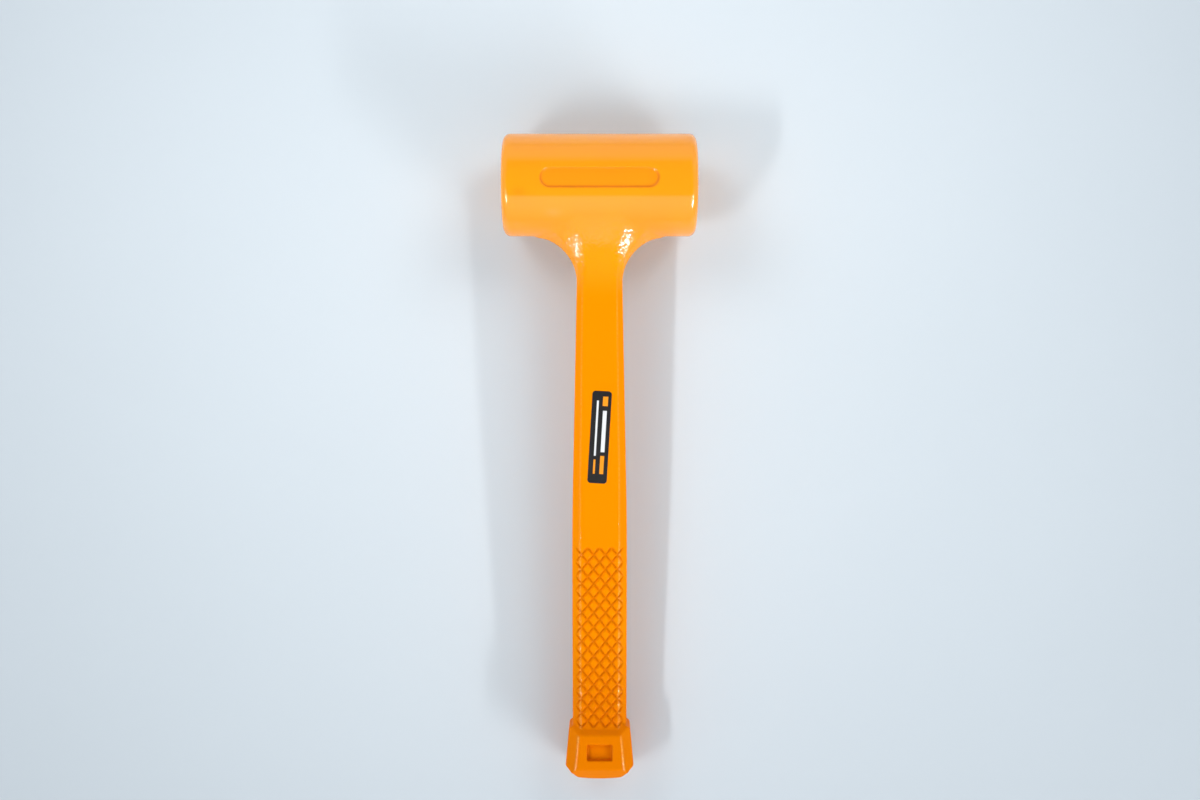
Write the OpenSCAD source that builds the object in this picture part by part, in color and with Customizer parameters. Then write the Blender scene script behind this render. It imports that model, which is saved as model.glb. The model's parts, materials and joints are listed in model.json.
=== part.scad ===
// Dead blow hammer: a welded steel core that holds loose shot, inside one seamless moulded skin.
// It lies on its side: head axis along X, handle towards -Y, resting on the head and the pommel's heel.

/* [Head] */
// Diameter of the moulded head
head_d = 52; // [46:1:60]
// Length of the head over both striking faces
head_len = 98; // [86:1:120]
// Radius of the rounded rim of each striking face
rim_r = 4; // [2:0.5:6]
// Length of the sunk panel on each cheek
panel_len = 59; // [40:1:70]
// Width of the sunk panel
panel_w = 10; // [6:0.5:14]
// Depth of the sunk panel
panel_depth = 0.9; // [0.4:0.1:1.5]
// How far the panel sits from the head's axis, away from the handle
panel_shift = 1; // [0:0.5:3]

/* [Neck] */
// Plan radius of the fillets between the head and the handle's flanks
neck_r = 24; // [18:1:30]
// Side-view radius along which the handle's flats rise to the head
rise_r = 40; // [25:1:60]
// Straight stretch between the fillets and the taper of the handle
neck_land = 1; // [0.5:0.5:10]

/* [Handle] */
// Length from the crown of the head to the end of the pommel
overall_len = 330; // [290:5:380]
// Thickness over the two flats
handle_t = 22; // [19:0.5:26]
// Width just below the neck
neck_w = 23.2; // [20:0.2:26]
// Width at the widest place of the grip
grip_w = 28; // [26:0.5:32]
// Width where the handle meets the pommel
heel_w = 27.6; // [25:0.2:31]
// Chamfer between the flats and the flanks just below the neck
neck_chamfer = 3.1; // [2.5:0.1:4]
// Chamfer at the widest place of the grip and down to the pommel
grip_chamfer = 4.2; // [3:0.1:5]
// How far the moulded edges are rounded along the handle and pommel
edge_soft = 1; // [0.4:0.1:1.4]
// Length over which the flanks widen in a straight line
taper_len = 100; // [70:1:110]
// Length over which they round off to the widest place
belly_len = 40; // [20:1:50]

/* [Grip] */
// Width of one diamond of the grip
diamond_w = 6.06; // [5:0.02:8]
// Length of one diamond along the handle
diamond_h = 7.38; // [6:0.02:9]
// Rows of diamonds along the handle
diamond_rows = 12.5; // [8.5:1:13.5]
// Width of a groove at the surface
groove_w = 1.35; // [0.8:0.05:2]
// Depth of a groove
groove_depth = 1.1; // [0.6:0.1:1.4]
// How far the grooves run out past the edge of the flat
groove_runout = 2; // [1.5:0.1:3]

/* [Pommel] */
// Length from the first shoulder to the end
pommel_len = 28.8; // [27:0.2:40]
// Width at the widest place, just before the end bevel
pommel_w = 35; // [32:0.2:40]
// Width just behind the shoulder
shoulder_w = 31; // [30:0.1:34]
// Thickness over the two raised faces
pommel_t = 28; // [25:0.5:32]
// Chamfer along the pommel
pommel_chamfer = 5.2; // [3:0.1:6]
// Length of the shoulder at the flanks
shoulder_run = 1; // [0.6:0.1:3]
// Distance from the shoulder to the foot of the slope
slope_back = 1; // [0.6:0.1:5]
// Length of the slope from the grip's flat up to the raised face
slope_run = 3.8; // [2:0.2:5]
// Length of the end bevel
end_bevel = 6.6; // [4:0.2:8]
// Height of the shallow dome on the end
dome_h = 1.1; // [0.6:0.1:2]
// Width of the blind pocket across the raised face
pocket_w = 12.6; // [8:0.2:16]
// Length of the pocket along the handle
pocket_len = 7.6; // [5:0.2:10]
// Depth of the pocket
pocket_depth = 2.5; // [1:0.1:4]

/* [Steel core] */
// Thickness of the moulding round the canister
skin_wall = 5; // [4:0.5:8]
// Thickness of the moulding in front of each canister cap
face_wall = 7; // [5:0.5:12]
// Wall of the canister tube
tube_wall = 2.5; // [2:0.1:4]
// Thickness of a canister cap
cap_t = 3; // [2.5:0.1:5]
// Depth of the ring weld round a cap
cap_weld = 1.4; // [0.8:0.1:1.8]
// Diameter of the rod in the handle
rod_d = 10; // [8:0.5:14]
// Moulding left between the rod's end and the end of the pommel
rod_cover = 19; // [12:1:40]
// Leg of the fillet weld that joins the rod to the tube
rod_weld_leg = 3.5; // [2:0.5:5]

/* [Shot] */
// Diameter of one pellet
shot_d = 8; // [6:0.5:10]
// Share of the canister's length that the charge takes up
shot_fill = 0.7; // [0.4:0.05:0.8]
// Gap between neighbouring pellets
pellet_gap = 0.04; // [0.02:0.01:0.2]
// Least gap between the pellets and the tube
shot_clearance = 0.4; // [0.3:0.1:1]

/* [Label] */
// Length of the sticker
label_len = 46.8; // [30:0.2:60]
// Width of the sticker
label_w = 9.8; // [6:0.2:11]
// Corner radius of the sticker
label_r = 1.6; // [0.5:0.1:3]
// Thickness of the sticker
label_t = 0.2; // [0.1:0.05:0.4]
// How far the sticker was stuck on askew, in degrees
label_tilt = 3.4; // [0:0.1:6]
// Distance from the crown of the head to the middle of the sticker
label_from_crown = 154; // [120:1:165]

/* [Hidden] */
$fn = 96;

skin_orange = [1.0, 0.56, 0.05];
steel_grey = [0.62, 0.64, 0.66];
weld_grey = [0.40, 0.40, 0.42];
shot_grey = [0.74, 0.75, 0.77];
label_black = [0.05, 0.05, 0.06];

// Overlap that lets a cut pass through a surface
over = 1;
// Largest share of a side that the rounding of one corner may take
most_rounding = 0.45;
head_r = head_d / 2;
flat_z = handle_t / 2;
rod_r = rod_d / 2;
canister_d = head_d - 2 * skin_wall;
canister_len = head_len - 2 * face_wall;
canister_r = canister_d / 2;
tube_bore_r = canister_r - tube_wall;

// Places along the handle, measured from the head's axis towards the pommel
neck_end = head_r + neck_r + neck_land;
taper_end = neck_end + taper_len;
belly = taper_end + belly_len;
handle_end = overall_len - head_r;
shoulder_start = handle_end - pommel_len;
shoulder_end = shoulder_start + shoulder_run;
slope_foot = shoulder_end + slope_back;
slope_top = slope_foot + slope_run;
bevel_start = handle_end - end_bevel;
dome_start = handle_end - dome_h;
rod_end = handle_end - rod_cover;
label_at = label_from_crown - head_r;
grip_bottom = slope_foot - groove_w / 2;
grip_top = grip_bottom - diamond_rows * diamond_h;

// A ring is [place, half width, half thickness, half width of its flat, half height of its flank, rounding]
function chamfer_at(d) =
    neck_chamfer + (grip_chamfer - neck_chamfer) * min(1, (d - neck_end) / (belly - neck_end));
function handle_ring(d, half_w) =
    [d, half_w, flat_z, half_w - chamfer_at(d), flat_z - chamfer_at(d), edge_soft];
least_flank = 0.33;
function pommel_ring(d, half_w, half_t) =
    [d, half_w, half_t, half_w - pommel_chamfer, max(half_t - pommel_chamfer, half_t * least_flank),
     edge_soft];

// A section's eight corners, and its points: each corner is rounded into two short facets, and the flats
// and flanks between them are split so that the neck can bend
flat_splits = 5;
flank_splits = 5;
function splits(side) = side % 2 == 0 ? 0 : side % 4 == 1 ? flank_splits : flat_splits;
function corners(r) = [[r[3], r[2]], [r[1], r[4]], [r[1], -r[4]], [r[3], -r[2]],
                       [-r[3], -r[2]], [-r[1], -r[4]], [-r[1], r[4]], [-r[3], r[2]]];
function step_to(from, to, soft) = from + (to - from) * min(most_rounding, soft / norm(to - from));
function rounded(before, corner, after, soft) =
    let (a = step_to(corner, before, soft), b = step_to(corner, after, soft))
    [a, (a + b) / 4 + corner / 2, b];
function section(r) =
    let (c = corners(r), n = len(c),
         arcs = [for (k = [0 : n - 1]) rounded(c[(k + n - 1) % n], c[k], c[(k + 1) % n], r[5])])
    [for (k = [0 : n - 1]) let (from = arcs[k][2], to = arcs[(k + 1) % n][0], parts = splits(k) + 1)
        each concat(arcs[k], [for (i = [1 : 1 : splits(k)]) from + (to - from) * i / parts])];
function ring_points(r) = [for (p = section(r)) [p[0], -r[0], p[1]]];

// Neck: its foot is an oval round the drum, sunk a hair so that the two surfaces cross cleanly. From each
// point of the handle's section an arc leaves along the handle and meets the drum tangentially at the foot.
foot_sink = 0.15;
foot_bury = 8;
foot_r = head_r - foot_sink;
foot_x = neck_w / 2 + neck_r;
foot_angle = asin((flat_z + rise_r) / (foot_r + rise_r));
neck_steps = 10;
function neck_curve(p) =
    let (a = atan2(p[1] / flat_z, 2 * p[0] / neck_w),
         turn = foot_angle * sin(a),
         foot = [foot_x * cos(a), -foot_r * cos(turn), foot_r * sin(turn)],
         bend = [p[0], (p[1] * sin(turn) - foot_r) / cos(turn), p[1]])
    [bend - [0, norm(foot - bend), 0], bend, foot];
function arc_point(curve, t) =
    let (before = curve[1] - curve[0], after = curve[2] - curve[1],
         weight = cos(acos(before * after / (norm(before) * norm(after))) / 2),
         shares = [pow(1 - t, 2), 2 * weight * t * (1 - t), t * t])
    shares * curve / (shares * [1, 1, 1]);
neck_base = handle_ring(neck_end, neck_w / 2);
neck_curves = [for (p = section(neck_base)) neck_curve(p)];
neck_rings = [for (i = [neck_steps : -1 : 0]) [for (curve = neck_curves) arc_point(curve, i / neck_steps)]];
buried_ring = [for (curve = neck_curves) [curve[2][0], -foot_bury, curve[2][2]]];

// The flanks widen straight, then follow a parabola that is tangent to the taper and level at the belly
belly_share = belly_len / (2 * taper_len);
taper_w = (grip_w + neck_w * belly_share) / (1 + belly_share);
belly_steps = 4;
belly_rings = [for (i = [0 : belly_steps])
    let (u = i / belly_steps)
    handle_ring(taper_end + u * belly_len, (grip_w - (grip_w - taper_w) * pow(1 - u, 2)) / 2)];

// Shares of the bevelled end: its chamfer and flank, then the dome's middle ring and tip
end_chamfer_share = 0.8;
end_flank_share = 0.6;
dome_share = 0.55;
tip_share = 0.183;
pommel_end_w = pommel_w / 2 - end_bevel + dome_h;
pommel_end_t = pommel_t / 2 - end_bevel + dome_h;
function shrink(ring, d, share) = concat([d], [for (i = [1 : 5]) ring[i] * share]);
dome_ring = [dome_start, pommel_end_w, pommel_end_t, pommel_end_w - pommel_chamfer * end_chamfer_share,
             pommel_end_t * end_flank_share, edge_soft];
function side_at(d) =
    (shoulder_w + (pommel_w - shoulder_w) * (d - shoulder_end) / (bevel_start - shoulder_end)) / 2;
function heel_ring(d, half_w) =
    [d, half_w, flat_z, heel_w / 2 - grip_chamfer, flat_z - grip_chamfer, edge_soft];
pommel_rings = [
    heel_ring(shoulder_start, heel_w / 2),
    heel_ring(shoulder_end, shoulder_w / 2),
    heel_ring(slope_foot, side_at(slope_foot)),
    pommel_ring(slope_top, side_at(slope_top), pommel_t / 2),
    pommel_ring(bevel_start, pommel_w / 2, pommel_t / 2),
    dome_ring,
    shrink(dome_ring, handle_end - dome_h * pow(dome_share, 2), dome_share),
    shrink(dome_ring, handle_end, tip_share),
];
handle_rings = [for (ring = concat([neck_base], belly_rings, pommel_rings)) ring_points(ring)];
rings = concat([buried_ring], neck_rings, handle_rings);

// The hammer tips until the head and the heel of the pommel both touch the surface it lies on
heel = [bevel_start, pommel_t / 2];
tilt = asin(head_r / norm(heel)) - atan2(heel[1], heel[0]);
far_end = min([for (ring = rings) for (p = ring) p[1] * cos(tilt) - p[2] * sin(tilt)]);
head_y = -(head_r + far_end) / 2;
module lay() translate([0, head_y, head_r]) rotate([tilt, 0, 0]) children();

// Shot: close-packed layers across the canister
pitch = shot_d + pellet_gap;
layer_step = pitch * sqrt(2 / 3);
bay_len = canister_len - 2 * cap_t;
shot_layers = floor((bay_len * shot_fill - shot_d) / layer_step) + 1;
shot_room = tube_bore_r - shot_d / 2 - shot_clearance;
shot_reach = ceil(2 * shot_room / pitch);
layer_shift = [pitch / 2, pitch / (2 * sqrt(3))];
function layer_spots(shift) = [for (i = [-shot_reach : shot_reach]) for (j = [-shot_reach : shot_reach])
    let (spot = [(i + j / 2) * pitch, j * pitch * sqrt(3) / 2] + shift)
    if (norm(spot) <= shot_room) spot];

// A skin through rings of points, closed at each end by a fan round the middle of its ring
function middle(ring) = [for (p = ring) 1] * ring / len(ring);
module loft(list) {
    sides = len(list[0]);
    last = len(list) - 1;
    total = len(list) * sides;
    skin = [for (i = [0 : last - 1]) for (k = [0 : sides - 1])
        let (n = (k + 1) % sides, a = i * sides, b = a + sides)
        each [[a + k, a + n, b + n], [a + k, b + n, b + k]]];
    near = [for (k = [0 : sides - 1]) [(k + 1) % sides, k, total]];
    far = [for (k = [0 : sides - 1]) [last * sides + k, last * sides + (k + 1) % sides, total + 1]];
    points = concat([for (ring = list) each ring], [middle(list[0]), middle(list[last])]);
    polyhedron(points, concat(near, skin, far));
}

// A rectangle with round corners, from squares and circles
module rounded_rectangle(len_x, len_y, r) {
    square([len_x - 2 * r, len_y], center = true);
    square([len_x, len_y - 2 * r], center = true);
    for (x = [-1, 1], y = [-1, 1]) translate([x * (len_x / 2 - r), y * (len_y / 2 - r)]) circle(r);
}

// A cylinder along the head's axis, centred on it
module along_head(r, len) rotate([0, 90, 0]) cylinder(r = r, h = len, center = true);

// A cylinder or cone along the handle, from place d with radius r1 to place d + len with radius r2
module along_handle(d, len, r1, r2)
    translate([0, -d, 0]) rotate([90, 0, 0]) cylinder(r1 = r1, r2 = r2, h = len);

// The head: a drum whose rims are true quarter rounds
module head_drum() {
    half = head_len / 2;
    rotate([0, 90, 0]) rotate_extrude() {
        translate([0, -half]) square([head_r - rim_r, head_len]);
        translate([0, rim_r - half]) square([head_r, head_len - 2 * rim_r]);
        for (side = [-1, 1]) translate([head_r - rim_r, side * (half - rim_r)]) circle(rim_r);
    }
}

// The space that a sunk panel takes out of the cheek: straight walls, floor concentric with the drum
module cheek_panel() {
    difference() {
        translate([0, panel_shift, 0]) linear_extrude(head_r + over) {
            square([panel_len - panel_w, panel_w], center = true);
            for (side = [-1, 1]) translate([side * (panel_len - panel_w) / 2, 0]) circle(d = panel_w);
        }
        along_head(head_r - panel_depth, head_len);
    }
}

// One V groove in the plane of a flat, from place [x, d] to place [x, d]
module groove(from, to) {
    run = to - from;
    half_mouth = groove_w / 2 * (groove_depth + over) / groove_depth;
    translate([from[0], -from[1], flat_z])
        rotate([0, 0, -atan2(run[1], run[0])])
            rotate([90, 0, 90])
                linear_extrude(norm(run))
                    polygon([[0, -groove_depth], [half_mouth, over], [-half_mouth, over]]);
}

// Parallel grooves that start at the grip's upper edge or at one side and run down across the flat
module groove_family() {
    reach = heel_w / 2 - grip_chamfer + groove_runout;
    steepness = diamond_h / diamond_w;
    width = (grip_bottom - grip_top) / steepness;
    first = ceil((-reach - width) / diamond_w);
    last = floor(reach / diamond_w);
    for (k = [first : last]) {
        start = k * diamond_w;
        from_x = max(-reach, start);
        to_x = min(reach, start + width);
        if (to_x - from_x > groove_w)
            groove([from_x, grip_top + (from_x - start) * steepness],
                   [to_x, grip_top + (to_x - start) * steepness]);
    }
}

// The diamond grip of one flat: two mirrored families of grooves
module diamond_grip() {
    groove_family();
    mirror([1, 0, 0]) groove_family();
}

// The blind pocket in the middle of a raised face of the pommel
module pommel_pocket() {
    middle = (slope_top + bevel_start) / 2;
    translate([-pocket_w / 2, -middle - pocket_len / 2, pommel_t / 2 - pocket_depth])
        cube([pocket_w, pocket_len, pocket_depth + over]);
}

// The whole outline of the rod, from inside the canister to its end
module rod_space() {
    along_handle(0, rod_end, rod_r, rod_r);
}

// The outline of the fillet weld, before the rod and the tube are taken out
module rod_weld_space() {
    along_handle(canister_r - rod_weld_leg, 2 * rod_weld_leg, rod_r + 2 * rod_weld_leg, rod_r);
}

module moulded_jacket() color(skin_orange) lay() difference() {
    union() {
        head_drum();
        loft(rings);
    }
    for (side = [0, 1]) mirror([0, 0, side]) {
        cheek_panel();
        diamond_grip();
        pommel_pocket();
    }
    along_head(canister_r, canister_len);
    rod_space();
    rod_weld_space();
}

module canister_tube() color(steel_grey) lay() difference() {
    along_head(canister_r, canister_len);
    along_head(tube_bore_r, canister_len + 2 * over);
    cap_weld_rings();
}

// A cap flush with the tube's end on the side given by -1 or 1
module canister_cap(side) color(steel_grey) lay() difference() {
    translate([side * (canister_len - cap_t) / 2, 0, 0]) along_head(tube_bore_r, cap_t);
    cap_weld_rings();
}

module canister_cap_left() canister_cap(-1);
module canister_cap_right() canister_cap(1);

// The V-shaped ring of weld in the corner between each cap and the tube
module cap_weld_rings() {
    for (side = [0, 1]) mirror([side, 0, 0]) translate([canister_len / 2, 0, 0]) rotate([0, 90, 0])
        rotate_extrude()
            polygon([[tube_bore_r - cap_weld, 0], [tube_bore_r + cap_weld, 0], [tube_bore_r, -cap_weld]]);
}

module cap_welds() color(weld_grey) lay() cap_weld_rings();

module handle_rod() color(steel_grey) lay() difference() {
    rod_space();
    along_head(canister_r, canister_len);
}

module rod_weld() color(weld_grey) lay() difference() {
    rod_weld_space();
    rod_space();
    along_head(canister_r, canister_len);
}

module steel_shot() color(shot_grey) lay() for (layer = [0 : shot_layers - 1]) {
    x = (layer - (shot_layers - 1) / 2) * layer_step;
    for (spot = layer_spots((layer % 2) * layer_shift))
        translate([x, spot[0], spot[1]]) sphere(d = shot_d, $fn = 48);
}

module handle_label() color(label_black) lay() translate([0, -label_at, flat_z])
    rotate([0, 0, -label_tilt]) linear_extrude(label_t) rounded_rectangle(label_w, label_len, label_r);

moulded_jacket();
canister_tube();
canister_cap_left();
canister_cap_right();
cap_welds();
handle_rod();
rod_weld();
steel_shot();
handle_label();
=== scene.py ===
"""Dead blow hammer: one moulded orange skin over a welded steel core with loose shot in its head."""

import json
import math

import bpy
import numpy as np
from mathutils import Matrix, Vector


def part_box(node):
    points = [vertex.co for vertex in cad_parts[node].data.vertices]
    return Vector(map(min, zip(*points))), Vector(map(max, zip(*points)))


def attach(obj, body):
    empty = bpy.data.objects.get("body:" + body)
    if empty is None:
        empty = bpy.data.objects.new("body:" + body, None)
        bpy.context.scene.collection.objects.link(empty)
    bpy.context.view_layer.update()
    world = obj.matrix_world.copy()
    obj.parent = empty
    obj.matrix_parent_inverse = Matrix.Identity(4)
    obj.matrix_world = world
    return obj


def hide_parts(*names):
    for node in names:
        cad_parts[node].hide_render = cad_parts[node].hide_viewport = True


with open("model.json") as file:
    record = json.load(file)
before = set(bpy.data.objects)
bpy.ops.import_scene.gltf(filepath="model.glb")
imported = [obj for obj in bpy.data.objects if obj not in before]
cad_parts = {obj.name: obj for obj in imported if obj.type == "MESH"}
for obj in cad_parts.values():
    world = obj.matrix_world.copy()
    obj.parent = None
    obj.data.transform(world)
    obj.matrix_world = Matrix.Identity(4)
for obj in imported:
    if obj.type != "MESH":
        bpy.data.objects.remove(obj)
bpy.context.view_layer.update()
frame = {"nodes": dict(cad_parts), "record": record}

# Sizes are millimetres along the hammer's own axes: x along the head, d from the head's axis down the
# handle and z through the thickness. The meshes are laid into the frame in metres.
MM = 0.001

# Head, with a sunk panel on each cheek
skin_low, skin_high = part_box("moulded_jacket")
HEAD_LEN = (skin_high.x - skin_low.x) / MM
HEAD_R = (skin_high.z - skin_low.z) / MM / 2
RIM_R = 4.0
PANEL_LEN, PANEL_W, PANEL_DEPTH = 59.0, 10.0, 0.9
PANEL_DRAFT, PANEL_SOFT = 0.6, 0.3
PANEL_AT = -1.4
PANEL_TOP, PANEL_FOOT = PANEL_AT - PANEL_W / 2, PANEL_AT + PANEL_W / 2

# Neck: it flares in plan by arcs of one radius and rises at the flats by arcs of another. Its chamfers
# widen and soften towards the head, and it blends into the drum beside its flats.
FLAT_Z = 11.0
NECK_W, GRIP_W, HEEL_W = 23.2, 28.0, 27.6
NECK_R, RISE_R = 24.0, 40.0
MOUTH_CHAMFER, MOUTH_SOFT, MOUTH_POWER = 18.0, 14.0, 3.5
FLAT_BLEND, NECK_BLEND = 0.05, 2.5
BLEND_START, BLEND_FULL = -2.0, 4.0
NECK_START = 12.0
NECK_END = HEAD_R + NECK_R
FLARE_X = NECK_W / 2 + NECK_R
LEAST_RUN = 0.01
RISE_TOP = FLAT_Z + RISE_R
RISE_END = math.sqrt((HEAD_R + RISE_R) ** 2 - RISE_TOP ** 2)

# Handle: a straight taper, then a belly
OVERALL_LEN = 330.0
HANDLE_END = OVERALL_LEN - HEAD_R
NECK_CHAMFER, GRIP_CHAMFER = 3.1, 4.2
EDGE_SOFT = 0.8
TAPER_LEN, BELLY_LEN = 100.0, 40.0
TAPER_END = NECK_END + TAPER_LEN
BELLY_AT = TAPER_END + BELLY_LEN

# Pommel: its shoulder, the foot and top of its sloped front and its bevel are placed from the handle's end
POMMEL_W, SHOULDER_W, POMMEL_Z = 35.0, 31.0, 14.0
POMMEL_CHAMFER, POMMEL_SOFT = 5.2, 0.6
END_BEVEL, CORNER_BEVEL = 6.6, 7.5
DOME_R = 80.0
HEEL_BLEND = 0.5
SHOULDER_LEN, SHOULDER_RUN = 27.9, 1.0
FOOT_LEN, TOP_LEN = 26.8, 24.2
SHOULDER_AT = HANDLE_END - SHOULDER_LEN
SLOPE_FOOT = HANDLE_END - FOOT_LEN
SLOPE_TOP = HANDLE_END - TOP_LEN
BEVEL_AT = HANDLE_END - END_BEVEL
POCKET_W, POCKET_LEN, POCKET_DEPTH = 12.6, 8.1, 2.5
POCKET_AT = (SLOPE_TOP + BEVEL_AT) / 2
POCKET_SOFT = 0.35

# Diamond grip: grooves that end at the pommel's slope and run out over the chamfers
DIAMOND_W, DIAMOND_H, DIAMOND_ROWS = 6.06, 7.38, 12.5
GROOVE_W, GROOVE_DEPTH, GROOVE_SOFT = 1.5, 1.1, 0.2
GROOVE_LEAD, GROOVE_RUNOUT = 0.2, 3.6
GRIP_BOTTOM = SLOPE_FOOT - GROOVE_W / 2
GRIP_TOP = GRIP_BOTTOM - DIAMOND_ROWS * DIAMOND_H

# Mesh grid: the end of each run along an axis and the size of its cells. The finest cells are at the
# panels' walls and the grooves, and each flat face lies inside one layer of cells.
CELLS = 12
COLUMN, ROW = DIAMOND_W / CELLS, DIAMOND_H / CELLS
GRID_X = (
    (3 * CELLS * COLUMN, COLUMN),
    (PANEL_LEN / 2 - 6, 0.8),
    (PANEL_LEN / 2 + 1, 0.45),
    (HEAD_LEN / 2 - RIM_R - 1, 1.1),
    (HEAD_LEN / 2 + 0.8, 0.6),
)
GRID_TOP = -HEAD_R - 1
GRID_D = (
    (PANEL_TOP - 0.8, 1.0),
    (PANEL_TOP + 1.6, 0.3),
    (PANEL_FOOT - 0.8, 0.95),
    (PANEL_FOOT + 1.6, 0.3),
    (HEAD_R, 1.0),
    (NECK_END + 4, 0.79),
    (GRIP_TOP - 4 * ROW, 2.0),
    (GRIP_BOTTOM, ROW),
    (HANDLE_END + 1, 0.55),
)
GRID_Z = (
    (FLAT_Z - 4.4, 1.1),
    (FLAT_Z - 2.8, 0.8),
    (FLAT_Z + 0.25, 3.05),
    (POMMEL_Z - 1.4, 1.35),
    (POMMEL_Z - 0.6, 0.8),
    (POMMEL_Z + 0.6, 1.2),
    (HEAD_R - 1.8, 1.0),
    (HEAD_R + 0.6, 2.4),
)
SLABS = 12
LEAST_STEEP = 0.05

# Space round the steel core: its least depth under the skin, and the digits by which its corners are joined
CORE_COVER = 3.0
JOIN_DIGITS = 7

# Edge lines: the reach across the long edges of the painted highlight lines and of the coat's polish, how
# they fade along the edges, and their share above the grip
HIGHLIGHT_REACH, EDGE_POLISH, EDGE_SHIFT = 0.3, 0.5, 0.2
EDGE_FADE, EDGE_DROP, HANDLE_EDGE_SHARE = 8.0, 1.5, 0.45
HEEL_LEAD, HEEL_RUN = 0.5, 1.0

# Painted shade: its strength and reach at the grooves' lower tips, the panels' lower edges, the pockets and
# the foot of the pommel's slope
TIP_SHADE, TIP_REACH = 0.8, 2.2
LINE_SHADE, LINE_INSET, LINE_REACH = 1.2, 0.3, 0.6
LINE_START, LINE_FULL = -0.9, 0.4
POCKET_SHADE, POCKET_REACH, POCKET_LEAST = 1.5, 0.5, 0.5
SUNK_START, SUNK_FULL = 0.1, 0.5
FOOT_SHADE, FOOT_REACH, FOOT_SHIFT = 0.3, 1.2, 0.84
FLAT_SLACK = 0.5

# Tone, gloss and grain along the skin. The panels' floors and the heel are painted darker as shade.
PANEL_SHADE, SPOT_TONE = 0.35, 0.35
HEEL_SHADE_AT = GRIP_TOP + 40.0
GLOSS_START, GLOSS_END = NECK_END - 12.0, NECK_END + 10.0
WALL_DULL = 0.8
GRAIN_START, GRAIN_FULL, GRAIN_LEAN = 10.0, 30.0, 0.25
FLAT_GRAIN, FLANK_START, FLANK_FULL = 0.4, 3.0, 9.0
# Faint marks on the head: middle x and d, then half length and half width
HEAD_SPOT = (-40.0, 6.0, 3.2, 2.4)
HEAD_SCUFF = (-23.0, 15.5, 4.0, 1.8)

# Sticker, and its rings from below to above: inset from the outline, and height as a share of the thickness
LABEL_W, LABEL_LEN, LABEL_T, LABEL_R = 9.8, 46.8, 0.2, 1.6
LABEL_AT = 128.0
LABEL_TILT = math.radians(3.4)
LABEL_RINGS = ((0.3, 0.0), (0.0, 0.0), (0.0, 0.6), (0.06, 0.9), (0.2, 1.0))
CORNER_STEPS = 8

# The hammer lies tipped on its head and heel. The frame gives the head's axis and the handle's direction.
core_low, core_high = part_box("canister_tube")
mounts = {mount["name"]: mount for mount in frame["record"]["mounts"]}
AXIS_X = Vector((1, 0, 0))
AXIS_Y = Vector(mounts["handle_grip"]["axis"]).normalized()
AXIS_Z = AXIS_X.cross(AXIS_Y)
LAY_TURN = np.array((AXIS_X, AXIS_Y, AXIS_Z)).T
LAY_AT = np.array((core_low + core_high) / 2)


def to_frame(points):
    """Points [x, d, z] in millimetres, as places in the frame in metres."""
    local = np.column_stack((points[:, 0], -points[:, 1], points[:, 2])) * MM
    return local @ LAY_TURN.T + LAY_AT


def from_frame(places):
    """Places in the frame in metres, as points [x, d, z] in millimetres."""
    local = (places - LAY_AT) @ LAY_TURN / MM
    return np.column_stack((local[:, 0], -local[:, 1], local[:, 2]))


# Distance fields: negative inside, in millimetres. Their arguments are arrays that broadcast together.
def smooth_max(a, b, soft):
    """The larger distance, with the edge between the two surfaces rounded."""
    near = np.maximum(soft - np.abs(a - b), 0) / soft
    return np.maximum(a, b) + near * near * soft / 4


def smooth_min(a, b, soft):
    """The smaller distance, with the corner between the two surfaces filled."""
    return -smooth_max(-a, -b, soft)


def smooth_step(low, high, value):
    """0 below low, 1 above high, eased between."""
    t = np.clip((value - low) / (high - low), 0, 1)
    return t * t * (3 - 2 * t)


def bell(off, reach):
    """1 at no distance, falling off on both sides over a reach."""
    return np.exp(-(off / reach) ** 2)


def drum(x, d, z):
    """The head: a cylinder with quarter-round rims."""
    side = np.hypot(d, z) - (HEAD_R - RIM_R)
    end = np.abs(x) - (HEAD_LEN / 2 - RIM_R)
    outside = np.hypot(np.maximum(side, 0), np.maximum(end, 0))
    return outside + np.minimum(np.maximum(side, end), 0) - RIM_R


def panel_slot(x, d):
    """Distance to the outline of the sunk panels, a slot with round ends."""
    past_straight = np.maximum(np.abs(x) - (PANEL_LEN - PANEL_W) / 2, 0)
    return np.hypot(past_straight, d - PANEL_AT) - PANEL_W / 2


def cheek_panel(x, d, z):
    """The space of the sunk panels, with drafted walls and a floor concentric with the drum."""
    height = np.hypot(d, z) - HEAD_R + PANEL_DEPTH
    walls = panel_slot(x, d) - PANEL_DRAFT * (height - PANEL_DEPTH)
    return np.maximum(smooth_max(walls, -height, PANEL_SOFT), -np.abs(z))


def half_width(d):
    """Half the handle's width: a straight taper, a parabola up to the belly, then slightly narrower."""
    share = BELLY_LEN / (2 * TAPER_LEN)
    taper_w = (GRIP_W + NECK_W * share) / (1 + share)
    taper = np.clip((d - NECK_END) / TAPER_LEN, 0, 1)
    belly = np.clip((d - TAPER_END) / BELLY_LEN, 0, 1)
    heel = np.clip((d - BELLY_AT) / (SHOULDER_AT - BELLY_AT), 0, 1)
    swell = (taper_w - NECK_W) * taper + (GRIP_W - taper_w) * (1 - (1 - belly) ** 2)
    return (NECK_W + swell - (GRIP_W - HEEL_W) * heel) / 2


def chamfer_at(d):
    """The chamfers' width, which grows from the neck to the belly."""
    growth = np.clip((d - NECK_END) / (BELLY_AT - NECK_END), 0, 1)
    return NECK_CHAMFER + (GRIP_CHAMFER - NECK_CHAMFER) * growth


def plan_distance(x, d):
    """Distance to the outline of neck and handle as seen from above."""
    x = np.abs(x)
    flare = np.where(x < FLARE_X, NECK_R - np.hypot(x - FLARE_X, d - NECK_END), d - HEAD_R)
    return np.where(d > NECK_END, x - half_width(d), flare)


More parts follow.
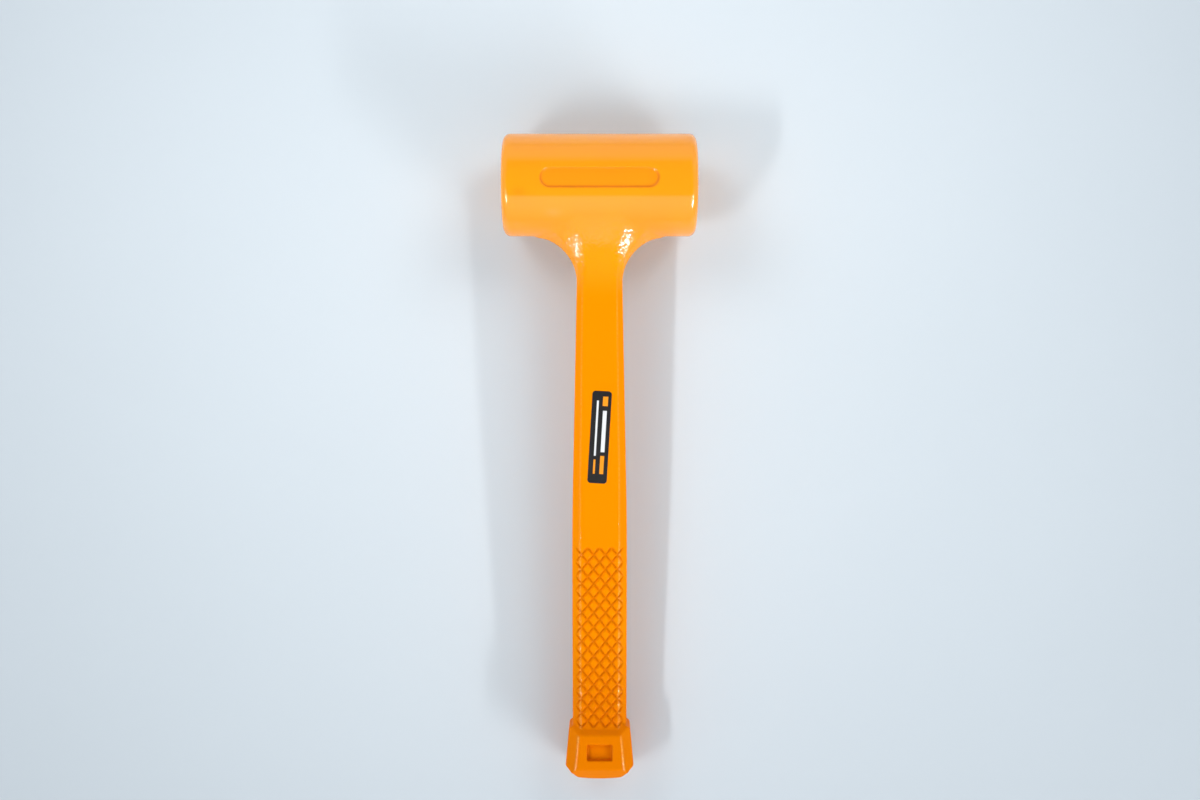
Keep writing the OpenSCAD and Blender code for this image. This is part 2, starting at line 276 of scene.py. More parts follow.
def side_distance(d, z):
    """Distance to the outline of neck and handle as seen from the side, tangent to the drum."""
    z = np.abs(z)
    rise = RISE_R - np.hypot(d - RISE_END, z - RISE_TOP)
    past_drum = d * RISE_TOP < z * RISE_END
    neck = np.where(past_drum, np.hypot(d, z) - HEAD_R, rise)
    return np.where(d > RISE_END, z - FLAT_Z, neck)


def shaft(x, d, z):
    """The eight-sided neck and handle, and how far a place is from its flats towards its chamfers."""
    plan, side = plan_distance(x, d), side_distance(d, z)
    run = np.maximum(FLARE_X - np.abs(x), LEAST_RUN)
    turn = np.arctan2(np.maximum(NECK_END - d, 0), run) / (math.pi / 2)
    chamfer = chamfer_at(d) + (MOUTH_CHAMFER - NECK_CHAMFER) * turn ** MOUTH_POWER
    soft = EDGE_SOFT + (MOUTH_SOFT - EDGE_SOFT) * turn * smooth_step(0, FLAT_Z, np.abs(z))
    slant = (plan + side + chamfer) / math.sqrt(2)
    body = smooth_max(np.maximum(plan, side), slant, soft)
    ends = np.maximum(np.maximum(NECK_START - d, d - SLOPE_TOP), np.abs(x) - FLARE_X)
    return np.maximum(body, ends), slant - side


def diamond_grooves(x, d, skin):
    """The space of the two crossing families of V grooves, which run out on the chamfers."""
    across = x / DIAMOND_W
    along = (d - GRIP_TOP) / DIAMOND_H
    spacing = DIAMOND_W * DIAMOND_H / math.hypot(DIAMOND_W, DIAMOND_H)
    falling, rising = (np.abs(line - np.round(line)) for line in (across - along, across + along))
    off = np.minimum(falling, rising) * spacing
    flat_w = half_width(d) - chamfer_at(d)
    fade = 1 - smooth_step(flat_w + GROOVE_LEAD, flat_w + GROOVE_RUNOUT, np.abs(x))
    depth = (GROOVE_DEPTH + GROOVE_SOFT) * fade - GROOVE_SOFT
    slope = GROOVE_W / 2 / GROOVE_DEPTH
    rounded = np.hypot(off, GROOVE_SOFT / 2) - GROOVE_SOFT / 2
    groove = (rounded - (skin + depth) * slope) * math.cos(math.atan(slope))
    return np.maximum(groove, np.maximum(GRIP_TOP - d, d - GRIP_BOTTOM))


def pommel_half(d):
    """Half the pommel's width, which grows from the shoulder to the end bevel."""
    growth = (POMMEL_W - SHOULDER_W) * (d - SHOULDER_AT) / (BEVEL_AT - SHOULDER_AT)
    return (SHOULDER_W + growth) / 2


def ramp(off, d, run, rise):
    """Distance to a sloped face that climbs by a rise over a run along the handle."""
    return (off * run - d * rise) / math.hypot(rise, run)


def pommel(x, d, z):
    """The block at the heel: tapered flanks, chamfers, a sloped front, bevelled corners and a domed end."""
    x, z = np.abs(x), np.abs(z)
    side_w = pommel_half(d)
    diagonal = 1 / math.sqrt(2)
    block = smooth_max(x - side_w, z - POMMEL_Z, POMMEL_SOFT)
    for face in (
        (x + z - side_w - POMMEL_Z + POMMEL_CHAMFER) * diagonal,
        ramp(x - HEEL_W / 2, d - SHOULDER_AT, SHOULDER_RUN, (SHOULDER_W - HEEL_W) / 2),
        ramp(z - FLAT_Z, d - SLOPE_FOOT, SLOPE_TOP - SLOPE_FOOT, POMMEL_Z - FLAT_Z),
        (z + d - POMMEL_Z - BEVEL_AT) * diagonal,
        (x + d - POMMEL_W / 2 - HANDLE_END + CORNER_BEVEL) * diagonal,
        np.sqrt(x * x + z * z + (d - HANDLE_END + DOME_R) ** 2) - DOME_R,
    ):
        block = smooth_max(block, face, POMMEL_SOFT)
    return block


def pommel_pocket(x, d, z):
    """The space of the blind pocket in each raised face of the pommel."""
    sides = smooth_max(np.abs(x) - POCKET_W / 2, np.abs(d - POCKET_AT) - POCKET_LEN / 2, POCKET_SOFT)
    return smooth_max(sides, POMMEL_Z - POCKET_DEPTH - np.abs(z), POCKET_SOFT)


def jacket(x, d, z, sunk=True):
    """The whole skin, with its panels, grooves and pockets unless sunk is False."""
    head = drum(x, d, z)
    grip, off_flat = shaft(x, d, z)
    heel = pommel(x, d, z)
    if sunk:
        head = smooth_max(head, -cheek_panel(x, d, z), PANEL_SOFT)
        grip = smooth_max(grip, -diamond_grooves(x, d, grip), GROOVE_SOFT)
        heel = smooth_max(heel, -pommel_pocket(x, d, z), POCKET_SOFT)
    blend = FLAT_BLEND + NECK_BLEND * smooth_step(BLEND_START, BLEND_FULL, off_flat)
    return smooth_min(smooth_min(grip, heel, HEEL_BLEND), head, blend)


# Meshing: one vertex in each grid cell that the surface crosses, then pulled onto the surface
def grid_line(start, runs):
    """Places along one axis: each run goes on to its end in even cells of about its size."""
    coarse = 1.0
    places = [np.array([start])]
    for end, size in runs:
        count = max(1, round((end - start) / size / coarse))
        places.append(np.linspace(start, end, count + 1)[1:])
        start = end
    return np.concatenate(places)


def mirrored(line):
    """A line of places from 0 outwards, continued on the other side."""
    return np.concatenate((-line[:0:-1], line))


def sample(field, axes):
    """The field's values at every grid point, slab by slab."""
    x, d, z = axes
    slabs = [
        field(x[:, None, None], part[None, :, None], z[None, None, :])
        for part in np.array_split(d, SLABS)
    ]
    return np.concatenate(slabs, axis=1)


def surface_net(values, axes):
    """Vertices and four-cornered faces of the zero surface of sampled values."""
    inside = values < 0
    cells = tuple(len(axis) - 1 for axis in axes)
    corners = [np.array((i, j, k)) for i in (0, 1) for j in (0, 1) for k in (0, 1)]
    filled = np.zeros(cells, np.int8)
    for i, j, k in corners:
        filled += inside[i:i + cells[0], j:j + cells[1], k:k + cells[2]]
    crossed = np.argwhere((filled > 0) & (filled < len(corners)))
    number = np.full(cells, -1)
    number[tuple(crossed.T)] = np.arange(len(crossed))
    total = np.zeros((len(crossed), 3))
    hits = np.zeros((len(crossed), 1))
    for a in corners:
        for b in corners:
            if (b - a).min() < 0 or (b - a).sum() != 1:
                continue
            at_a, at_b = crossed + a, crossed + b
            value_a, value_b = values[tuple(at_a.T)], values[tuple(at_b.T)]
            cut = ((value_a < 0) != (value_b < 0))[:, None]
            change = np.where(value_a == value_b, 1, value_a - value_b)
            share = np.where(cut, (value_a / change)[:, None], 0)
            place_a = np.column_stack([axes[n][at_a[:, n]] for n in range(3)])
            place_b = np.column_stack([axes[n][at_b[:, n]] for n in range(3)])
            total += np.where(cut, place_a + share * (place_b - place_a), 0)
            hits += cut
    faces = []
    for axis in range(3):
        first = np.take(inside, range(cells[axis]), axis)
        second = np.take(inside, range(1, cells[axis] + 1), axis)
        edges = np.argwhere(first != second)
        leaving = first[tuple(edges.T)]
        u, v = (axis + 1) % 3, (axis + 2) % 3
        ring = []
        for step_u, step_v in ((-1, -1), (0, -1), (0, 0), (-1, 0)):
            cell = edges.copy()
            cell[:, u] += step_u
            cell[:, v] += step_v
            ring.append(number[tuple(cell.T)])
        ring = np.column_stack(ring)
        faces.append(np.where(leaving[:, None], ring[:, ::-1], ring))
    return total / hits, np.concatenate(faces)


def slope_of(field, points, step=0.03):
    """The field's gradient at each point."""
    columns = []
    for n in range(3):
        shift = np.zeros(3)
        shift[n] = step
        columns.append((field(*(points + shift).T) - field(*(points - shift).T)) / (2 * step))
    return np.column_stack(columns)


def settle(field, points, rounds=4, reach=0.4):
    """Points moved along the gradient until they lie on the zero surface."""
    for _ in range(rounds):
        slope = slope_of(field, points)
        steep = np.maximum((slope * slope).sum(1), LEAST_STEEP)
        move = np.clip(field(*points.T) / steep, -reach, reach)
        points = points - slope * move[:, None]
    return points


def split_faces(field, points, faces):
    """Each four-cornered face as two triangles, along the diagonal that lies closer to the surface."""
    a, b, c, d = faces.T
    first = np.abs(field(*((points[a] + points[c]) / 2).T))
    second = np.abs(field(*((points[b] + points[d]) / 2).T))
    by_first = np.concatenate((np.column_stack((a, b, c)), np.column_stack((a, c, d))))
    by_second = np.concatenate((np.column_stack((a, b, d)), np.column_stack((b, c, d))))
    return np.where(np.tile(first <= second, 2)[:, None], by_first, by_second)


def new_object(name, points, faces):
    """A mesh object from places in the frame and lists of corners, smooth shaded."""
    mesh = bpy.data.meshes.new(name)
    mesh.from_pydata([tuple(p) for p in points], [], [tuple(f) for f in faces])
    mesh.validate()
    mesh.shade_smooth()
    obj = bpy.data.objects.new(name, mesh)
    bpy.context.scene.collection.objects.link(obj)
    return obj


def core_faces():
    """The walls of the space round the steel core, taken over from the frame's own skin."""
    mesh = frame["nodes"]["moulded_jacket"].data
    places = np.array([v.co for v in mesh.vertices])
    deep = jacket(*from_frame(places).T, sunk=False) < -CORE_COVER
    keys = {}
    joined = [keys.setdefault(tuple(np.round(p, JOIN_DIGITS)), len(keys)) for p in places]
    points = np.array(list(keys))
    polygons = [list(polygon.vertices) for polygon in mesh.polygons]
    faces = [[joined[i] for i in polygon] for polygon in polygons if all(deep[polygon])]
    used = sorted({i for face in faces for i in face})
    again = {old: new for new, old in enumerate(used)}
    return points[used], [[again[i] for i in face] for face in faces if len(set(face)) > 2]


def long_edge_lines(x, d, z, reach):
    """A mask of the long edges between flats and chamfers, which holds the painted highlight lines there
    and the coat's extra polish.
    """
    x, z = np.abs(x), np.abs(z)
    past_neck = smooth_step(NECK_END - EDGE_FADE, NECK_END + EDGE_FADE, d) * (d < SLOPE_FOOT)
    at_grip = HANDLE_EDGE_SHARE + (1 - HANDLE_EDGE_SHARE) * smooth_step(GRIP_TOP - EDGE_FADE, GRIP_TOP, d)
    at_heel = smooth_step(SLOPE_TOP - HEEL_LEAD, SLOPE_TOP + HEEL_RUN, d) * (d < BEVEL_AT + HEEL_RUN)
    edges = (
        (past_neck * at_grip, x - half_width(d) + chamfer_at(d), FLAT_Z),
        (at_heel, x - pommel_half(d) + POMMEL_CHAMFER, POMMEL_Z),
    )
    return sum(mask * bell(off - EDGE_SHIFT, reach) * (z > face - EDGE_DROP) for mask, off, face in edges)


def painted_shade_at(x, d, z):
    """A mask of painted shade: in the grooves, along the panels' lower edges, in the pockets and at the
    foot of the pommel's slope.
    """
    depth = np.clip(-jacket(x, d, z, sunk=False), 0, 1)
    x, z = np.abs(x), np.abs(z)
    on_grip = smooth_step(GRIP_TOP - DIAMOND_H, GRIP_TOP, d) * (d < SLOPE_FOOT)
    tips = smooth_step(GRIP_BOTTOM - TIP_REACH, GRIP_BOTTOM - TIP_REACH / 4, d)
    grooves = on_grip * depth * (1 + TIP_SHADE * tips)
    lower = smooth_step(LINE_START, LINE_FULL, (d - PANEL_AT) / (PANEL_W / 2)) * (d < HEAD_R)
    line = bell(panel_slot(x, d) + LINE_INSET, LINE_REACH) * lower * (z > HEAD_R / 2)
    wall = np.maximum(x - POCKET_W / 2, np.abs(d - POCKET_AT) - POCKET_LEN / 2)
    sunk = smooth_step(SUNK_START, SUNK_FULL, depth) * (d > SLOPE_TOP)
    # The pockets' painted shade is heaviest on their lower sides.
    lower_weight = POCKET_LEAST + smooth_step(-1, 1, (d - POCKET_AT) / (POCKET_LEN / 2))
    in_pocket = np.exp(-np.abs(wall) / POCKET_REACH) * sunk * lower_weight
    on_flat = (z > FLAT_Z - FLAT_SLACK) * (x < GRIP_W / 2 - GRIP_CHAMFER)
    foot = bell(d - SLOPE_FOOT - FOOT_SHIFT, FOOT_REACH) * on_flat
    return grooves + LINE_SHADE * line + POCKET_SHADE * in_pocket + FOOT_SHADE * foot


def mark_at(points, x, d, length, width):
    """A soft oval mask on the upper side."""
    reach = ((points[:, 0] - x) / length) ** 2 + ((points[:, 1] - d) / width) ** 2
    return np.exp(-reach) * (points[:, 2] > 0)


def skin_masks(points):
    """The masks that the skin's material reads, by name."""
    x, d = np.abs(points[:, 0]), points[:, 1]
    panel = np.clip(-drum(*points.T) / PANEL_DEPTH, 0, 1) * (d < PANEL_W)
    panel_wall = 4 * panel * (1 - panel)
    spot, scuff = (mark_at(points, *mark) for mark in (HEAD_SPOT, HEAD_SCUFF))
    grain = smooth_step(GRAIN_START, GRAIN_FULL, d - GRAIN_LEAN * x)
    flank = FLAT_GRAIN + (1 - FLAT_GRAIN) * smooth_step(FLANK_START, FLANK_FULL, x)
    # The masks for the panels' floors and the heel, and the one for grooves, panel edges, pockets and the
    # slope's foot, are painted shade; the colour mask on the long edges is painted highlight.
    return {
        "painted_shade": painted_shade_at(*points.T),
        "grain": grain,
        "flank": grain * flank,
        "gloss": (1 - smooth_step(GLOSS_START, GLOSS_END, d)) * (1 - WALL_DULL * panel_wall),
        # Painted shade: the skin darkens from here to the slope's top, where less light falls.
        "heel": smooth_step(HEEL_SHADE_AT, SLOPE_TOP, d),
        "spot_and_panel_shade": np.maximum(SPOT_TONE * spot, PANEL_SHADE * panel),
        "scuff": scuff,
        "painted_edge_line": long_edge_lines(*points.T, HIGHLIGHT_REACH),
        "polish": long_edge_lines(*points.T, EDGE_POLISH),
    }


def make_jacket():
    """The moulded skin with its masks, which are 0 on the walls round the core."""
    axes = mirrored(grid_line(0, GRID_X)), grid_line(GRID_TOP, GRID_D), mirrored(grid_line(0, GRID_Z))
    points, faces = surface_net(sample(jacket, axes), axes)
    points = settle(jacket, points)
    faces = split_faces(jacket, points, faces)
    inner_points, inner_faces = core_faces()
    start = len(points)
    every_face = [tuple(f) for f in faces] + [tuple(i + start for i in f) for f in inner_faces]
    obj = new_object("jacket", np.concatenate((to_frame(points), inner_points)), every_face)
    for name, mask in skin_masks(points).items():
        layer = obj.data.attributes.new(name, "FLOAT", "POINT")
        layer.data.foreach_set("value", np.concatenate((mask, np.zeros(len(inner_points)))))
    return obj


def label_ring(inset, height):
    """The sticker's outline with round corners, set in from its edge, at a height above the flat."""
    ring = []
    for side_x, side_y, start in ((1, 1, 0), (-1, 1, 90), (-1, -1, 180), (1, -1, 270)):
        for i in range(CORNER_STEPS + 1):
            angle = math.radians(start + 90 * i / CORNER_STEPS)
            ring.append((
                side_x * (LABEL_W / 2 - LABEL_R) + (LABEL_R - inset) * math.cos(angle),
                side_y * (LABEL_LEN / 2 - LABEL_R) + (LABEL_R - inset) * math.sin(angle),
                height,
            ))
    return ring


def make_label():
    """The film sticker: a thin sheet with a softened edge that lies slightly askew on the upper flat."""
    rings = [label_ring(inset, LABEL_T * share) for inset, share in LABEL_RINGS]
    count = len(rings[0])
    flat = np.array([p for ring in rings for p in ring])
    faces = [tuple(range(count))[::-1]]
    for low in range(0, len(flat) - count, count):
        for i in range(count):
            after = (i + 1) % count
            faces.append((low + i, low + after, low + count + after, low + count + i))
    faces.append(tuple(range(len(flat) - count, len(flat))))
    cos, sin = math.cos(LABEL_TILT), math.sin(LABEL_TILT)
    place = flat[:, :2] @ np.array(((cos, sin), (-sin, cos))).T
    points = np.column_stack((place[:, 0], LABEL_AT - place[:, 1], FLAT_Z + flat[:, 2]))
    obj = new_object("label", to_frame(points), faces)
    layer = obj.data.attributes.new("sheet", "FLOAT_VECTOR", "POINT")
    layer.data.foreach_set("vector", flat.ravel())
    return obj


# Materials: colours are linear, noise scales are per metre and the distances of reliefs are in metres
NOISE_RANGE = (0.3, 0.7)

FRESH_ORANGES = ((0.96, 0.32, 0.0, 1), (0.96, 0.335, 0.0, 1))
HANDLE_ORANGE = (0.95, 0.268, 0.0, 1)
# A darker orange painted on the heel as shade, where less light falls.
HEEL_SHADE_ORANGE = (0.83, 0.204, 0.0, 1)
# A deeper orange for faint spots on the head, and painted as shade on the panels' floors.
SPOT_AND_SHADE_ORANGE = (0.95, 0.22, 0.0, 1)
SCUFF_ORANGE = (0.95, 0.5, 0.2, 1)
# A paler orange painted along the long edges as highlight lines, broken into dashes.
EDGE_LINE_ORANGE = (1.0, 0.42, 0.045, 1)
# A brown painted as shade in the grooves and at their lower tips, along the panels' lower edges, in the
# pockets and at the foot of the pommel's slope.
SHADE_BROWN = (0.62, 0.13, 0.0, 1)
SPECK_BROWN = (0.55, 0.2, 0.03, 1)
SCUFF_SHARE, SHADE_SHARE = 0.12, 0.52
BROKEN_RANGE, BROKEN_SHARES = (0.4, 0.6), (0.25, 1)
SPECK_RANGE, SPECK_SHARES = (0.78, 0.82), (0, 0.16)
SKIN_ROUGH = 0.38
SMUDGE_RANGE, SMUDGE_ROUGH = (0.35, 0.7), (-0.03, 0.06)
SKIN_SPECULAR, SKIN_TINT = 0.02, (1.0, 0.75, 0.25, 1)
COAT_ROUGH, COAT_IOR = 0.1, 1.6
HANDLE_COAT, POLISH_COAT = 0.02, 0.7
TURNED_RANGE, TURNED_LOSS = (0.5, 0.9), (0, 0.85)
SPARKLE_RANGE, SPARKLE_LOSS = (0.45, 0.55), (0.7, 0)

FILM_BLACKS = ((0.010, 0.009, 0.009, 1), (0.020, 0.018, 0.018, 1))
INK_WHITE, INK_ORANGE = (0.80, 0.80, 0.80, 1), (0.95, 0.32, 0.01, 1)
FILM_ROUGH, FILM_SPECULAR = (0.32, 0.44), 0.35
# Bars on the sticker: middle and half size, across and along it in millimetres, and ink
LABEL_BARS = (
    ((1.9, 3.0), (1.0, 10.5), INK_WHITE),
    ((-1.9, 4.5), (0.5, 14.0), INK_WHITE),
    ((1.9, -14.0), (1.0, 4.6), INK_ORANGE),
    ((-1.9, -15.0), (0.5, 3.6), INK_ORANGE),
    ((1.9, 18.3), (1.3, 2.4), INK_ORANGE),
)
BAR_SOFT = 0.08

# Steels: name, two tones, range of roughness, stretch of the grain, and the nodes they finish
STEELS = (
    (
        "drawn_steel", ((0.42, 0.43, 0.45, 1), (0.56, 0.57, 0.59, 1)), (0.28, 0.42), (0.1, 1, 1),
        ("canister_tube", "canister_cap_left", "canister_cap_right", "handle_rod"),
    ),
    (
        "weld_bead", ((0.20, 0.19, 0.19, 1), (0.38, 0.37, 0.37, 1)), (0.4, 0.6), (1, 1, 1),
        ("cap_welds", "rod_weld"),
    ),
    (
        "shot_steel", ((0.48, 0.49, 0.51, 1), (0.64, 0.65, 0.67, 1)), (0.2, 0.36), (1, 1, 1),
        ("steel_shot",),
    ),
)

PAPER_TONES = ((0.635, 0.695, 0.735, 1), (0.655, 0.715, 0.755, 1))
PAPER_ROUGH, PAPER_SPECULAR = 0.85, 0.2


def new_material(name):
    """A node material and its tree, with the main shader ready."""
    material = bpy.data.materials.new(name)
    material.use_nodes = True
    return material, material.node_tree, material.node_tree.nodes["Principled BSDF"]


def feed(tree, socket, value):
    """A value or a link into one socket."""
    if isinstance(value, bpy.types.NodeSocket):
        tree.links.new(value, socket)
    else:
        socket.default_value = value


def add(tree, kind, inputs, **settings):
    """A node with its socket values or links, and its properties."""
    node = tree.nodes.new(kind)
    for key, value in settings.items():
        setattr(node, key, value)
    for key, value in inputs.items():
        feed(tree, node.inputs[key], value)
    return node


def object_place(tree):
    """The place on the object, in metres."""
    return add(tree, "ShaderNodeTexCoord", {}).outputs["Object"]


def noise(tree, scale, detail, place=None, rough=0.5):
    """Noise over the object, with features of about one over scale in metres."""
    inputs = {"Vector": place or object_place(tree), "Scale": scale, "Detail": detail, "Roughness": rough}
    return add(tree, "ShaderNodeTexNoise", inputs).outputs["Fac"]


def spread(tree, value, source, target):
    """A value mapped from one range to another, held at the ends."""
    ends = dict(zip(("From Min", "From Max", "To Min", "To Max"), (*source, *target)))
    return add(tree, "ShaderNodeMapRange", {"Value": value, **ends}).outputs["Result"]


def math_node(tree, operation, a, b=0.0):
    """One arithmetic step on two values."""
    return add(tree, "ShaderNodeMath", {0: a, 1: b}, operation=operation).outputs[0]


def times(tree, a, b):
    """The product of two values."""
    return math_node(tree, "MULTIPLY", a, b)


def mix(tree, share, a, b):
    """Two colours mixed by a share, through sockets that only their numbers tell apart."""
    return add(tree, "ShaderNodeMix", {0: share, 6: a, 7: b}, data_type="RGBA").outputs[2]


def relief(tree, height, strength, distance, below=None):
    """The normal of a fine relief, on top of the one below it where there is one."""
    inputs = {"Height": height, "Strength": strength, "Distance": distance}
    if below:
        inputs["Normal"] = below
    return add(tree, "ShaderNodeBump", inputs).outputs["Normal"]


def mask_of(tree, name):
    """A mask stored on the mesh."""
    return add(tree, "ShaderNodeAttribute", {}, attribute_name=name).outputs["Fac"]


def skin_colour(tree):
    """The skin's orange. Painted shade makes it darker towards the heel and brown in the grooves, along the
    panel edges, in the pockets and at the slope's foot, and painted highlight lines make it paler on the
    long edges.
    """
    cloud = spread(tree, noise(tree, scale=45, detail=4), NOISE_RANGE, (0, 1))
    broken = spread(tree, noise(tree, scale=800, detail=2), BROKEN_RANGE, BROKEN_SHARES)
    speck = spread(tree, noise(tree, scale=420, detail=1), SPECK_RANGE, SPECK_SHARES)
    colour = mix(tree, cloud, *FRESH_ORANGES)
    colour = mix(tree, mask_of(tree, "gloss"), HANDLE_ORANGE, colour)
    for share, over in (
        # Painted shade towards the heel.
        (mask_of(tree, "heel"), HEEL_SHADE_ORANGE),
        # Faint spots, and painted shade on the panels' floors.
        (mask_of(tree, "spot_and_panel_shade"), SPOT_AND_SHADE_ORANGE),
        (times(tree, mask_of(tree, "scuff"), SCUFF_SHARE), SCUFF_ORANGE),
        # Painted shade in grooves, along panel edges, in pockets and at the slope's foot.
        (times(tree, mask_of(tree, "painted_shade"), SHADE_SHARE), SHADE_BROWN),
        # Painted highlight lines along the long edges.
        (times(tree, mask_of(tree, "painted_edge_line"), broken), EDGE_LINE_ORANGE),
        (speck, SPECK_BROWN),
    ):
        colour = mix(tree, share, colour, over)
    return colour


def skin_coat(tree):
    """The coat's weight: full on the head, some on rubbed edges, less on grain and where it turns away."""
    smooth = spread(tree, mask_of(tree, "gloss"), (0, 1), (HANDLE_COAT, 1))
    weight = math_node(tree, "MAXIMUM", smooth, times(tree, mask_of(tree, "polish"), POLISH_COAT))
    facing = add(tree, "ShaderNodeLayerWeight", {"Blend": 0.5}).outputs["Facing"]
    turned = spread(tree, facing, TURNED_RANGE, TURNED_LOSS)
    sparkle = spread(tree, noise(tree, scale=820, detail=0), SPARKLE_RANGE, SPARKLE_LOSS)
    for loss, mask in ((turned, "grain"), (sparkle, "flank")):
        kept = math_node(tree, "SUBTRACT", 1.0, times(tree, loss, mask_of(tree, mask)))
        weight = times(tree, weight, kept)
    return weight


def skin_material():
    """Orange elastomer: a glossy head, then a satin, grained neck and handle."""
    material, tree, shader = new_material("orange_elastomer")
    smudge = spread(tree, noise(tree, scale=70, detail=5, rough=0.62), SMUDGE_RANGE, SMUDGE_ROUGH)
    fine = noise(tree, scale=760, detail=0.5)
    grain = relief(tree, times(tree, fine, mask_of(tree, "grain")), strength=0.3, distance=0.00025)
    pebble = relief(tree, times(tree, fine, mask_of(tree, "flank")), strength=0.8, distance=0.00045)
    swell = relief(tree, noise(tree, scale=160, detail=1), strength=0.1, distance=0.0003, below=grain)
    for socket, value in (
        ("Base Color", skin_colour(tree)),
        ("Roughness", math_node(tree, "ADD", smudge, SKIN_ROUGH)),
        ("Normal", swell),
        ("Specular IOR Level", SKIN_SPECULAR),
        ("Specular Tint", SKIN_TINT),
        ("Coat Weight", skin_coat(tree)),
        ("Coat Normal", pebble),
        ("Coat Roughness", COAT_ROUGH),
        ("Coat IOR", COAT_IOR),
    ):
        feed(tree, shader.inputs[socket], value)
    return material


def label_material():
    """Black printed film with plain bars of white and orange."""
    material, tree, shader = new_material("printed_film")
    sheet = add(tree, "ShaderNodeAttribute", {}, attribute_name="sheet").outputs["Vector"]
    parts = add(tree, "ShaderNodeSeparateXYZ", {"Vector": sheet}).outputs
    colour = mix(tree, noise(tree, scale=900, detail=3), *FILM_BLACKS)
    for middle, half, ink in LABEL_BARS:
        shares = []
        for value, centre, reach in zip((parts["X"], parts["Y"]), middle, half):
            off = math_node(tree, "ABSOLUTE", math_node(tree, "SUBTRACT", value, centre))
            shares.append(spread(tree, off, (reach - BAR_SOFT, reach + BAR_SOFT), (1, 0)))
        colour = mix(tree, times(tree, *shares), colour, ink)
    feed(tree, shader.inputs["Base Color"], colour)
    rough = spread(tree, noise(tree, scale=300, detail=3), NOISE_RANGE, FILM_ROUGH)
    feed(tree, shader.inputs["Roughness"], rough)
    feed(tree, shader.inputs["Specular IOR Level"], FILM_SPECULAR)
    return material


def metal_material(name, tones, rough, stretch):
    """Bare steel in two tones of grey, with a grain that can be drawn out, and its roughness and relief."""
    material, tree, shader = new_material(name)
    place = add(tree, "ShaderNodeVectorMath", {0: object_place(tree), 1: stretch}, operation="MULTIPLY")
    lines = noise(tree, scale=600, detail=4, place=place.outputs[0])
    tone = spread(tree, lines, NOISE_RANGE, (0, 1))
    feed(tree, shader.inputs["Base Color"], mix(tree, tone, *tones))
    feed(tree, shader.inputs["Roughness"], spread(tree, lines, NOISE_RANGE, rough))
    feed(tree, shader.inputs["Normal"], relief(tree, lines, strength=0.25, distance=0.00005))
    feed(tree, shader.inputs["Metallic"], 1.0)
    return material


def floor_material():
    """Pale matt paper with a faint cloudiness."""
    material, tree, shader = new_material("pale_paper")
    cloud = spread(tree, noise(tree, scale=3, detail=3), NOISE_RANGE, (0, 1))
    feed(tree, shader.inputs["Base Color"], mix(tree, cloud, *PAPER_TONES))
    feed(tree, shader.inputs["Roughness"], PAPER_ROUGH)
    feed(tree, shader.inputs["Specular IOR Level"], PAPER_SPECULAR)
    return material


def set_material(obj, material):
    """The one material of an object."""
    obj.data.materials.clear()
    obj.data.materials.append(material)


# Pieces
jacket_piece = make_jacket()
set_material(jacket_piece, skin_material())
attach(jacket_piece, "hammer")
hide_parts("moulded_jacket")

label_piece = make_label()
set_material(label_piece, label_material())
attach(label_piece, "hammer")
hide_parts("handle_label")

for steel, tones, rough, stretch, names in STEELS:
    finish = metal_material(steel, tones, rough, stretch)
    for name in names:
        set_material(frame["nodes"][name], finish)

# Floor, in metres
FLOOR_HALF = 3.0
floor_corners = [(x * FLOOR_HALF, y * FLOOR_HALF, 0) for x, y in ((-1, -1), (1, -1), (1, 1), (-1, 1))]
floor = new_object("floor", floor_corners, [(0, 1, 2, 3)])
set_material(floor, floor_material())

# Light: a room with a dark ceiling and bright walls, lamps that cast the shadows, fills that soften them,
# and glints that show only as highlights. The walls' edges are in degrees from straight overhead.
ROOM_COLOUR = (0.94, 1.0, 1.07, 1)
CEILING_LEVEL = 0.18
NEAR_EDGE, NEAR_RISE, NEAR_LEVELS = (-34, -29), (-90, -52), (0.62, 1.08)
FAR_EDGE, FAR_LEVEL = (40, 60), 0.8
SIDE_EDGE, SIDE_LEVEL = (34, 44), 0.64
SIDE_FALL, SIDE_LOW = (68, 80), 0.85
# Lamps: name, direction from the head, distance and size in metres, power in watts and cone in degrees
LAMP_AIM = Vector((0, 0.16, 0.03))
LAMPS = (
    ("lamp_left", (-0.898, -0.662, 1.0), 1.5, (0.06, 0.5), 0.76, 60),
    ("lamp_right", (1.75, -1.63, 1.0), 1.8, (0.07, 0.8), 1.55, 60),
    ("fill_left", (-0.55, 0.5, 0.67), 0.9, (0.5, 0.5), 0.28, 44),
    ("fill_right", (0.55, 0.5, 0.67), 0.9, (0.5, 0.5), 0.28, 44),
)
GLINTS = (
    ("glint_left", (-0.9, -0.781, 1.0), 1.5, (0.07, 0.5), 1.7, 60),
    ("glint_right", (1.06, -1.17, 1.0), 1.8, (0.13, 0.75), 3.7, 60),
)


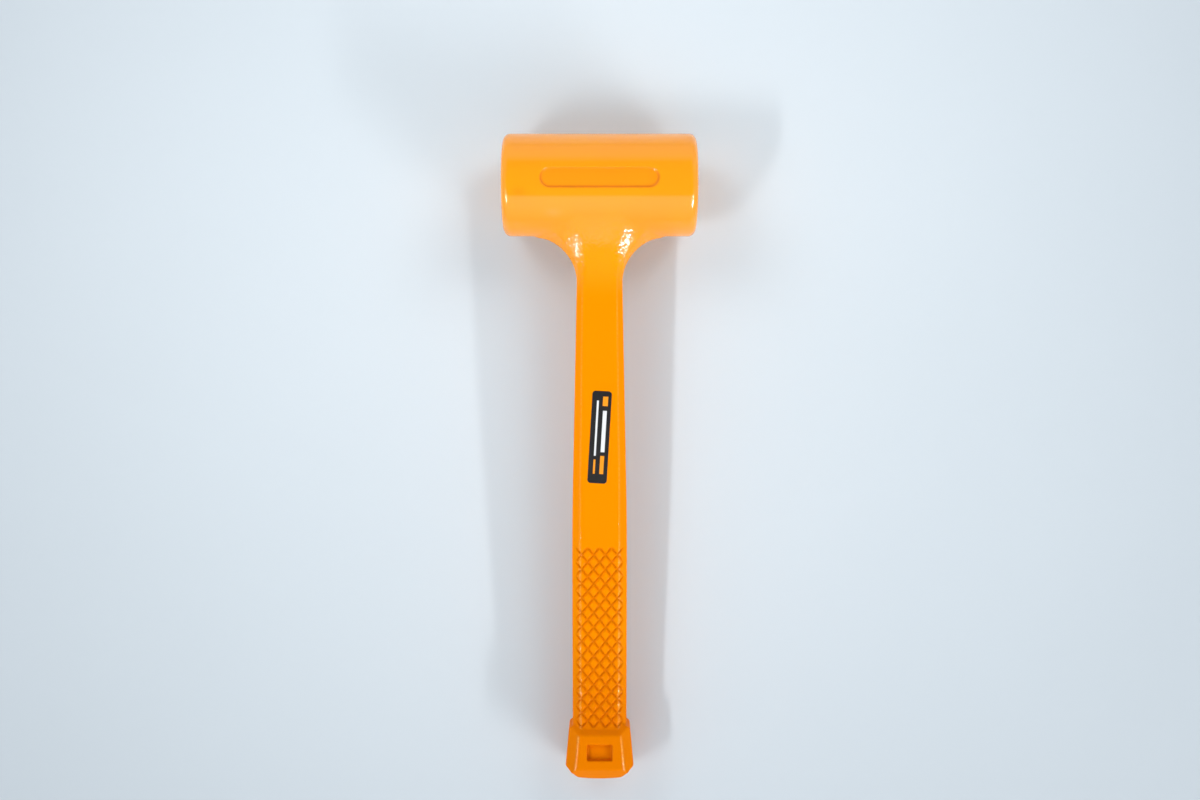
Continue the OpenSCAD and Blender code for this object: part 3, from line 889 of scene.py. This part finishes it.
def make_world():
    """The room: its near wall is the brightest, and the walls at the head's two ends are the dimmest."""
    world = bpy.data.worlds.new("room")
    world.use_nodes = True
    tree = world.node_tree
    background = tree.nodes["Background"]
    place = add(tree, "ShaderNodeTexCoord", {}).outputs["Generated"]
    parts = add(tree, "ShaderNodeSeparateXYZ", {"Vector": place}).outputs

    def wall(angle, edges, levels):
        return spread(tree, angle, [math.radians(edge) for edge in edges], levels)

    along = math_node(tree, "ARCTAN2", parts["Y"], parts["Z"])
    across = math_node(tree, "ABSOLUTE", math_node(tree, "ARCTAN2", parts["X"], parts["Z"]))
    near = times(tree, wall(along, NEAR_EDGE, (1, 0)), wall(along, NEAR_RISE, NEAR_LEVELS))
    far = wall(along, FAR_EDGE, (0, FAR_LEVEL))
    sides = times(tree, wall(across, SIDE_EDGE, (0, SIDE_LEVEL)), wall(across, SIDE_FALL, (1, SIDE_LOW)))
    level = near
    for other in (far, sides, CEILING_LEVEL):
        level = math_node(tree, "MAXIMUM", level, other)
    feed(tree, background.inputs["Strength"], level)
    feed(tree, background.inputs["Color"], ROOM_COLOUR)
    bpy.context.scene.world = world


def make_lamp(name, direction, distance, size, power, cone):
    """A flat lamp with a narrow cone, aimed at the head, its second side along the hammer."""
    light = bpy.data.lights.new(name, "AREA")
    light.shape = "RECTANGLE"
    light.size, light.size_y = size
    light.energy = power
    light.spread = math.radians(cone)
    lamp = bpy.data.objects.new(name, light)
    toward = Vector(direction).normalized()
    across = Vector((0, 1, 0)).cross(toward).normalized()
    turn = Matrix((across, toward.cross(across), toward)).transposed()
    lamp.matrix_world = Matrix.Translation(LAMP_AIM + toward * distance) @ turn.to_4x4()
    bpy.context.scene.collection.objects.link(lamp)
    return lamp


make_world()
for lamp_row in LAMPS:
    make_lamp(*lamp_row).visible_glossy = False
for lamp_row in GLINTS:
    make_lamp(*lamp_row).visible_diffuse = False

# Camera: straight down on the hammer, lens and sensor in millimetres and place in metres
SENSOR_W, LENS = 36.0, 44.67
CAMERA_AT = (0.0002, 0.0294, 0.785)
camera_data = bpy.data.cameras.new("camera")
camera_data.sensor_width = SENSOR_W
camera_data.lens = LENS
camera = bpy.data.objects.new("camera", camera_data)
camera.location = CAMERA_AT
bpy.context.scene.collection.objects.link(camera)
bpy.context.scene.camera = camera

bpy.context.scene.view_settings.view_transform = "Standard"
